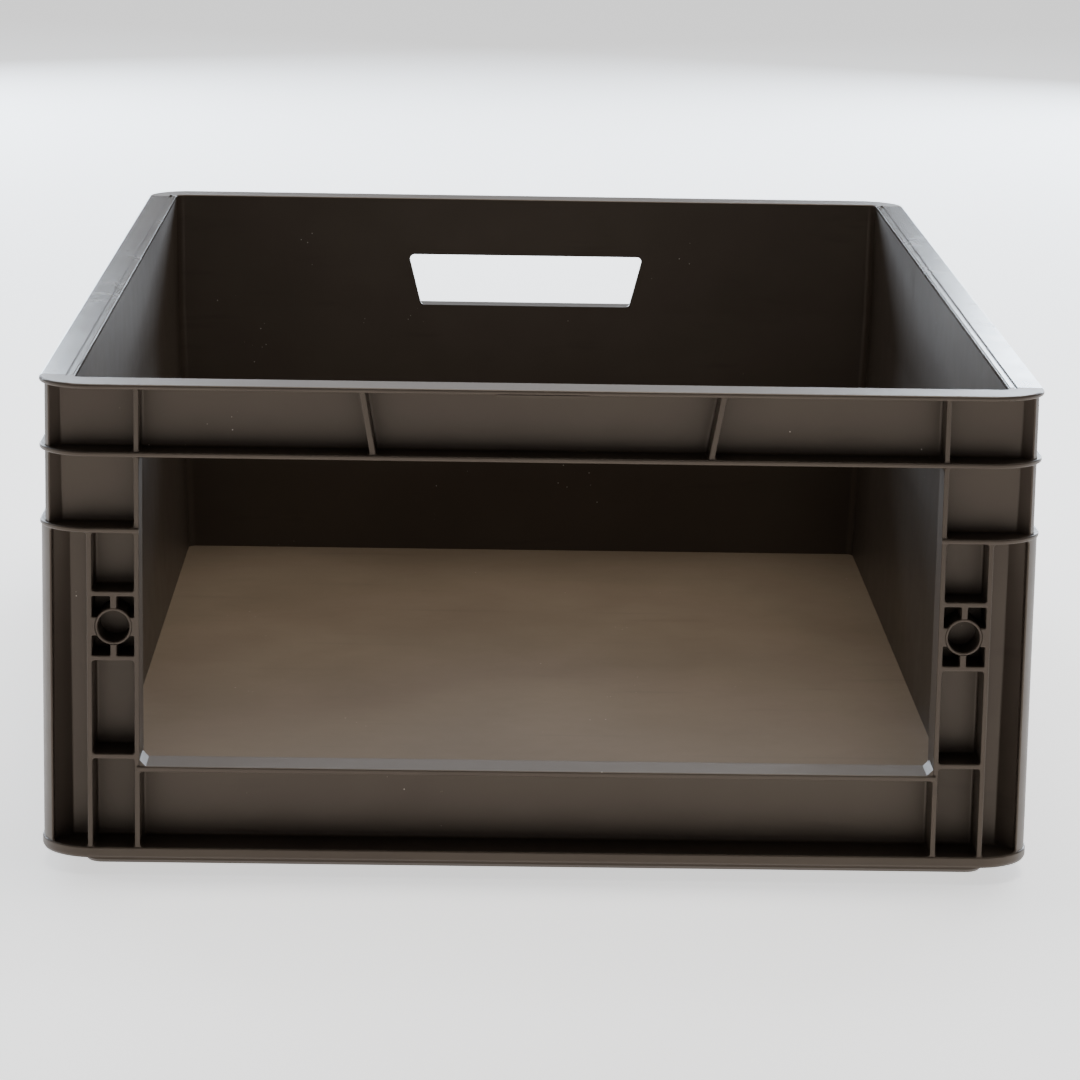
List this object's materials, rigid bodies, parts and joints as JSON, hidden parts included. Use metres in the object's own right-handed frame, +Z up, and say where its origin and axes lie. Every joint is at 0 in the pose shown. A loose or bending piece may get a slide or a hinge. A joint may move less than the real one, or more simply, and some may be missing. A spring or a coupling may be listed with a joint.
{
  "type": "rigid stacking crate with picking opening",
  "caption": "Rigid moulded stacking crate on a 400 x 600 mm footprint, open top, low-silled picking opening in the front, hand grip in the rear.",
  "frame": {"origin": "centre of the footprint, at the underside of the stacking foot", "axes": "+Z up, +Y towards the rear short side with the hand grip, +X to the right seen from the picking opening"},
  "size_m": [0.4, 0.6, 0.2],
  "materials": {
    "body": "satin moulded polypropylene, dark taupe",
    "floor": "satin moulded polypropylene with faint flow marks and scuffs, dark taupe"
  },
  "bodies": {
    "root": {"rim_front": "body", "rim_rear": "body", "rim_left": "body", "rim_right": "body", "corner_post_front_left": "body", "corner_post_front_right": "body", "corner_post_rear_left": "body", "corner_post_rear_right": "body", "pin_socket_front_left": "body", "pin_socket_front_right": "body", "pin_socket_rear_left": "body", "pin_socket_rear_right": "body", "side_wall_upper_left": "body", "side_wall_upper_right": "body", "side_wall_lower_left": "body", "side_wall_lower_right": "body", "front_header": "body", "front_sill": "body", "front_lip": "body", "rear_wall_upper": "body", "rear_wall_lower": "body", "floor_panel": "floor", "stacking_foot": "body", "base_ribs": "body"}
  },
  "joints": []
}
